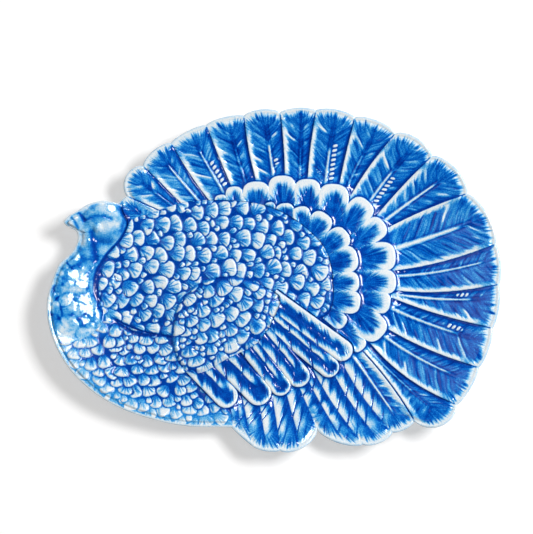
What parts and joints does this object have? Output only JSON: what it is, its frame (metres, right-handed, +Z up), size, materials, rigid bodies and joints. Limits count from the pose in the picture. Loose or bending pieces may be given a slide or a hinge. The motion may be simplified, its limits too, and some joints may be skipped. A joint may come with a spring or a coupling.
{
  "type": "turkey platter",
  "caption": "Large oval serving platter moulded in relief as a turkey with a fanned tail, with a scalloped flared rim and a low foot ring, in cobalt and white glaze.",
  "frame": {"origin": "on the table, under the middle of the platter's bounding box", "axes": "+X from the head towards the tail, +Y across the platter towards the upper tail feathers, +Z up out of the well"},
  "size_m": [0.45, 0.343, 0.038],
  "materials": {
    "rim_glaze": "glossy white glaze, tinted pale blue where it is thicker",
    "cobalt_glaze": "glossy cobalt glaze that pools dark in the hollows and breaks white on the raised edges",
    "bare_clay": "unglazed fired clay, matt"
  },
  "bodies": {
    "root": {"dish": "rim_glaze", "foot_ring": "bare_clay", "tail_fan": "cobalt_glaze", "flank_feathers": "cobalt_glaze", "outer_coverts": "cobalt_glaze", "inner_coverts": "cobalt_glaze", "breast_plumage": "cobalt_glaze", "body_plumage": "cobalt_glaze", "head_and_neck": "cobalt_glaze", "wing_feathers": "cobalt_glaze", "wing_shoulder": "cobalt_glaze"}
  },
  "joints": []
}
